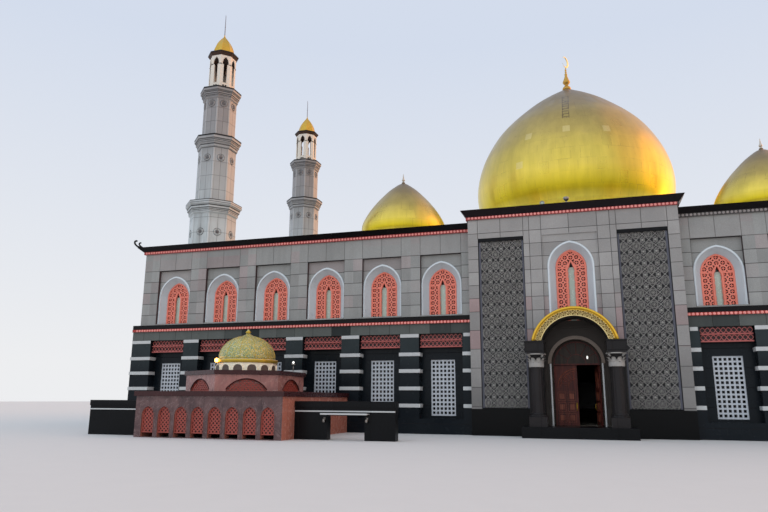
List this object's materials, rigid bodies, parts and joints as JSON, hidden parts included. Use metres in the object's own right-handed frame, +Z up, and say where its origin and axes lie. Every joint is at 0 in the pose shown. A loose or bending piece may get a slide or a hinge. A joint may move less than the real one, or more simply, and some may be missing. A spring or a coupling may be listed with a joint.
{
  "type": "mosque building, 1:2 scale model",
  "caption": "Hollow stone-clad mosque at half scale: windowed hall, arched portal with hinged door leaves, gilded domes, octagonal minarets and a small domed annex.",
  "frame": {"origin": "on the lowest ground level, under the tip of the main dome, at the centre of the hall", "axes": "+X to the right along the front, +Y from the front into the building, +Z up"},
  "size_m": [34.3356, 36.525, 20.2029],
  "materials": {
    "grey_granite": "flamed granite slabs with open joints",
    "portal_granite": "granite blocks with faint pink courses",
    "black_granite": "polished",
    "column_stone": "polished shafts with pale carved capitals",
    "pale_stone": "honed",
    "minaret_stone": "pale slabs with fine joints",
    "relief": "carved interlace",
    "gold": "gilded sheet with seams, weathered",
    "gilding": "gilded, bright",
    "glass": "dusty",
    "wood": "dark varnish",
    "red_marble": "polished, veined",
    "mosaic": "small glossy tiles",
    "cream_plaster": "smooth",
    "white_stone": "white courses, window surrounds and grids",
    "terracotta": "salmon-coloured screens and beads"
  },
  "bodies": {
    "building": {"floor_slab": "pale_stone", "roof_slab": "pale_stone", "left_wing_lower_wall": "black_granite", "right_wing_lower_wall": "black_granite", "left_wing_upper_wall": "grey_granite", "right_wing_upper_wall": "grey_granite", "left_side_wall": "grey_granite", "right_side_wall": "grey_granite", "rear_wall": "grey_granite", "main_cornice": "black_granite", "lower_glazing": "glass", "upper_glazing": "glass", "portal_left_pier": "portal_granite", "portal_right_pier": "portal_granite", "left_lattice_panel": "relief", "right_lattice_panel": "relief", "left_entrance_column": "column_stone", "right_entrance_column": "column_stone", "doorway_wall": "portal_granite", "portal_window_wall": "portal_granite", "portal_window_glass": "glass", "portal_cornice": "black_granite", "entrance_landing": "black_granite", "entrance_hood": "relief", "hood_arch": "gilding", "door_frame": "wood", "main_drum": "grey_granite", "main_dome": "gold", "main_finial": "gilding", "annex_block": "red_marble", "annex_hexagon": "red_marble", "annex_drum": "cream_plaster", "annex_dome": "mosaic", "left_garden_wall": "black_granite", "right_garden_wall": "black_granite", "left_front_drum": "grey_granite", "left_front_dome": "gold", "left_rear_drum": "grey_granite", "left_rear_dome": "gold", "left_front_minaret": "minaret_stone", "left_front_minaret_cap": "gilding", "left_middle_minaret": "minaret_stone", "left_middle_minaret_cap": "gilding", "right_front_drum": "grey_granite", "right_front_dome": "gold", "right_rear_drum": "grey_granite", "right_rear_dome": "gold", "right_front_minaret": "minaret_stone", "right_front_minaret_cap": "gilding", "right_middle_minaret": "minaret_stone", "right_middle_minaret_cap": "gilding"},
    "left_door": {"left_door_leaf": "wood"},
    "right_door": {"right_door_leaf": "wood"}
  },
  "joints": [
    {"name": "left_door_hinge", "type": "hinge", "parent": "building", "child": "left_door", "pos_m": [-0.647, -15.612, 0], "axis": [0, 0, 1], "range_deg": [0, 90]},
    {"name": "right_door_hinge", "type": "hinge", "parent": "building", "child": "right_door", "pos_m": [0.647, -15.612, 0], "axis": [0, 0, 1], "range_deg": [-10, 80]}
  ]
}
